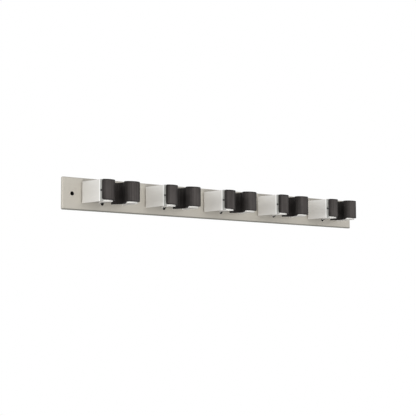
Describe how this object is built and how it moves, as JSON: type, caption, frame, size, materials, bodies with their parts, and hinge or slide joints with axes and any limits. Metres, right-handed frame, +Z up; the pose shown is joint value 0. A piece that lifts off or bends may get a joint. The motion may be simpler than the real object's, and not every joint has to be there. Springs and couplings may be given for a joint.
{
  "type": "wall mop holder rack",
  "caption": "Flat metal wall rail with a row of sprung clips whose rubber-lined jaws grip the handles of mops, brooms and other cleaning tools.",
  "frame": {"origin": "middle of the rail's back face, on the wall, midway between the two end screw holes", "axes": "+X along the rail to the right seen from the front, +Y into the wall, +Z up"},
  "size_m": [0.5, 0.047, 0.04],
  "materials": {
    "rail_metal": "satin, fine grain along the rail",
    "leaf_metal": "satin, light",
    "strap_metal": "satin",
    "rubber_pad": "matt charcoal",
    "rivet_metal": "satin",
    "pin_metal": "blackened"
  },
  "bodies": {
    "rack": {"rail_plate": "rail_metal", "clip_1_base": "strap_metal", "clip_1_back_pad": "rubber_pad", "clip_1_rivets": "rivet_metal", "clip_2_base": "strap_metal", "clip_2_back_pad": "rubber_pad", "clip_2_rivets": "rivet_metal", "clip_3_base": "strap_metal", "clip_3_back_pad": "rubber_pad", "clip_3_rivets": "rivet_metal", "clip_4_base": "strap_metal", "clip_4_back_pad": "rubber_pad", "clip_4_rivets": "rivet_metal", "clip_5_base": "strap_metal", "clip_5_back_pad": "rubber_pad", "clip_5_rivets": "rivet_metal"},
    "clip_1_left": {"clip_1_left_jaw": "leaf_metal", "clip_1_left_pad": "rubber_pad", "clip_1_left_pin": "pin_metal"},
    "clip_1_right": {"clip_1_right_jaw": "leaf_metal", "clip_1_right_pad": "rubber_pad", "clip_1_right_pin": "pin_metal"},
    "clip_2_left": {"clip_2_left_jaw": "leaf_metal", "clip_2_left_pad": "rubber_pad", "clip_2_left_pin": "pin_metal"},
    "clip_2_right": {"clip_2_right_jaw": "leaf_metal", "clip_2_right_pad": "rubber_pad", "clip_2_right_pin": "pin_metal"},
    "clip_3_left": {"clip_3_left_jaw": "leaf_metal", "clip_3_left_pad": "rubber_pad", "clip_3_left_pin": "pin_metal"},
    "clip_3_right": {"clip_3_right_jaw": "leaf_metal", "clip_3_right_pad": "rubber_pad", "clip_3_right_pin": "pin_metal"},
    "clip_4_left": {"clip_4_left_jaw": "leaf_metal", "clip_4_left_pad": "rubber_pad", "clip_4_left_pin": "pin_metal"},
    "clip_4_right": {"clip_4_right_jaw": "leaf_metal", "clip_4_right_pad": "rubber_pad", "clip_4_right_pin": "pin_metal"},
    "clip_5_left": {"clip_5_left_jaw": "leaf_metal", "clip_5_left_pad": "rubber_pad", "clip_5_left_pin": "pin_metal"},
    "clip_5_right": {"clip_5_right_jaw": "leaf_metal", "clip_5_right_pad": "rubber_pad", "clip_5_right_pin": "pin_metal"}
  },
  "joints": [
    {"name": "clip_1_left_flex", "type": "hinge", "parent": "rack", "child": "clip_1_left", "pos_m": [-0.22055, -0.0055, 0.0021], "axis": [0, 0, -1], "range_deg": [0, 12], "stiffness_Nm_per_rad": 3},
    {"name": "clip_1_right_flex", "type": "hinge", "parent": "rack", "child": "clip_1_right", "pos_m": [-0.16345, -0.0055, 0.0021], "axis": [0, 0, 1], "range_deg": [0, 12], "stiffness_Nm_per_rad": 3},
    {"name": "clip_2_left_flex", "type": "hinge", "parent": "rack", "child": "clip_2_left", "pos_m": [-0.12455, -0.0055, 0.0021], "axis": [0, 0, -1], "range_deg": [0, 12], "stiffness_Nm_per_rad": 3},
    {"name": "clip_2_right_flex", "type": "hinge", "parent": "rack", "child": "clip_2_right", "pos_m": [-0.06745, -0.0055, 0.0021], "axis": [0, 0, 1], "range_deg": [0, 12], "stiffness_Nm_per_rad": 3},
    {"name": "clip_3_left_flex", "type": "hinge", "parent": "rack", "child": "clip_3_left", "pos_m": [-0.02855, -0.0055, 0.0021], "axis": [0, 0, -1], "range_deg": [0, 12], "stiffness_Nm_per_rad": 3},
    {"name": "clip_3_right_flex", "type": "hinge", "parent": "rack", "child": "clip_3_right", "pos_m": [0.02855, -0.0055, 0.0021], "axis": [0, 0, 1], "range_deg": [0, 12], "stiffness_Nm_per_rad": 3},
    {"name": "clip_4_left_flex", "type": "hinge", "parent": "rack", "child": "clip_4_left", "pos_m": [0.06745, -0.0055, 0.0021], "axis": [0, 0, -1], "range_deg": [0, 12], "stiffness_Nm_per_rad": 3},
    {"name": "clip_4_right_flex", "type": "hinge", "parent": "rack", "child": "clip_4_right", "pos_m": [0.12455, -0.0055, 0.0021], "axis": [0, 0, 1], "range_deg": [0, 12], "stiffness_Nm_per_rad": 3},
    {"name": "clip_5_left_flex", "type": "hinge", "parent": "rack", "child": "clip_5_left", "pos_m": [0.16345, -0.0055, 0.0021], "axis": [0, 0, -1], "range_deg": [0, 12], "stiffness_Nm_per_rad": 3},
    {"name": "clip_5_right_flex", "type": "hinge", "parent": "rack", "child": "clip_5_right", "pos_m": [0.22055, -0.0055, 0.0021], "axis": [0, 0, 1], "range_deg": [0, 12], "stiffness_Nm_per_rad": 3}
  ]
}
